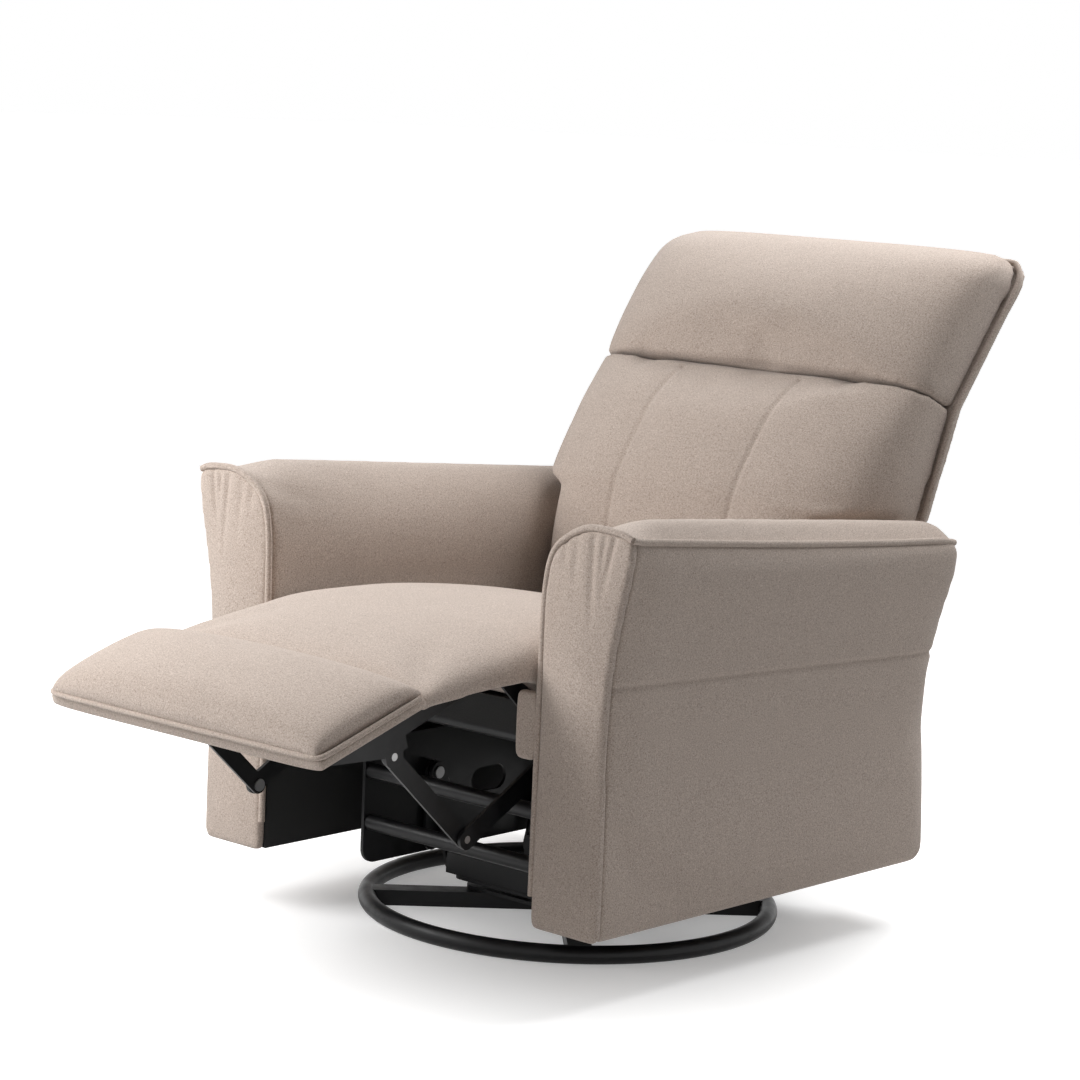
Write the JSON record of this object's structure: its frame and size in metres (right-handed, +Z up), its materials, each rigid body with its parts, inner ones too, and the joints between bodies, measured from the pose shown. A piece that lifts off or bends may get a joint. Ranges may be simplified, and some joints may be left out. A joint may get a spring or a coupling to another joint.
{
  "type": "swivel glider recliner",
  "caption": "Upholstered nursery armchair that swivels and glides on a ring base, with a reclining channelled back and a fold-out leg rest on link arms.",
  "frame": {"origin": "on the floor at the swivel axis, under the middle of the base cross", "axes": "+Z up, -Y the way the chair faces, +X to the sitter's left"},
  "size_m": [0.788, 1.3357, 0.945],
  "materials": {
    "upholstery": "brushed wool-look melange weave",
    "black_steel": "black semi-gloss powder coat",
    "hardwood": "sawn beech",
    "black_liner": "black non-woven cloth on board",
    "zinc_pins": "zinc plated",
    "bearing_steel": "polished",
    "grip_plastic": "fine grain"
  },
  "bodies": {
    "base": {"base_ring": "black_steel", "base_cross": "black_steel", "swivel_lower_race": "black_steel", "swivel_balls": "bearing_steel", "swivel_king_pin": "zinc_pins"},
    "turntable": {"swivel_upper_plate": "black_steel", "glider_channels": "black_steel", "glider_hangers": "black_steel", "glide_top_pins": "zinc_pins"},
    "front_links": {"front_glide_links": "black_steel"},
    "rear_links": {"rear_glide_links": "black_steel"},
    "chair": {"glide_low_pins": "zinc_pins", "carriage_front_tubes": "black_steel", "carriage_rear_tubes": "black_steel", "carriage_brackets": "black_steel", "seat_front_rail": "black_liner", "seat_rear_rail": "hardwood", "seat_cushion": "upholstery", "rear_panel": "black_liner", "leg_hinge_pins": "zinc_pins", "back_hinge_pins": "zinc_pins", "carriage_frame_left": "black_steel", "carriage_frame_right": "black_steel", "side_plate_left": "black_steel", "side_plate_right": "black_steel", "side_rail_left": "black_liner", "side_rail_right": "black_liner", "arm_front_panel_left": "upholstery", "arm_front_panel_right": "upholstery", "arm_pad_left": "upholstery", "arm_pad_right": "upholstery", "arm_liner_left": "black_liner", "arm_liner_right": "black_liner", "inner_filler_left": "upholstery", "inner_filler_right": "upholstery"},
    "leg_rest": {"leg_arm_rivets": "zinc_pins", "bridge_pad": "upholstery", "foot_board": "upholstery", "foot_pad": "upholstery", "leg_arm_left": "black_steel", "leg_arm_right": "black_steel"},
    "drive": {"drive_tube": "black_steel", "crank_rivets": "zinc_pins", "release_lever": "black_steel", "lever_grip": "grip_plastic", "crank_left": "black_steel", "crank_right": "black_steel"},
    "push_links": {"push_link_left": "black_steel", "push_link_right": "black_steel"},
    "back": {"back_panel": "upholstery", "back_posts": "hardwood", "back_rails": "hardwood", "back_cushion": "upholstery", "head_cushion": "upholstery", "back_hinge_plate_left": "black_steel", "back_hinge_plate_right": "black_steel"}
  },
  "joints": [
    {"name": "swivel", "type": "hinge", "parent": "base", "child": "turntable", "pos_m": [0, 0, 0.03], "axis": [0, 0, 1], "continuous": true},
    {"name": "glide", "type": "hinge", "parent": "turntable", "child": "front_links", "pos_m": [0, -0.12, 0.185], "axis": [1, 0, 0], "range_deg": [-20, 20]},
    {"name": "rear_link_swing", "type": "hinge", "parent": "turntable", "child": "rear_links", "pos_m": [0, 0.12, 0.185], "axis": [1, 0, 0], "range_deg": [-20, 20]},
    {"name": "carriage_level", "type": "hinge", "parent": "front_links", "child": "chair", "pos_m": [0, -0.12, 0.087], "axis": [1, 0, 0], "range_deg": [-20, 20]},
    {"name": "leg_rest_fold", "type": "hinge", "parent": "chair", "child": "leg_rest", "pos_m": [0, -0.381, 0.424], "axis": [1, 0, 0], "range_deg": [0, 72]},
    {"name": "drive_turn", "type": "hinge", "parent": "chair", "child": "drive", "pos_m": [0, -0.245, 0.3], "axis": [1, 0, 0], "range_deg": [0, 72]},
    {"name": "push_link_level", "type": "hinge", "parent": "leg_rest", "child": "push_links", "pos_m": [0, -0.56, 0.325], "axis": [1, 0, 0], "range_deg": [-72, 0]},
    {"name": "recline", "type": "hinge", "parent": "chair", "child": "back", "pos_m": [0, 0.24, 0.36], "axis": [1, 0, 0], "range_deg": [-16, 14]}
  ],
  "couplings": [
    {"joint": "rear_link_swing", "follows": "glide", "ratio": 1},
    {"joint": "carriage_level", "follows": "glide", "ratio": -1},
    {"joint": "drive_turn", "follows": "leg_rest_fold", "ratio": 1},
    {"joint": "push_link_level", "follows": "leg_rest_fold", "ratio": -1}
  ]
}
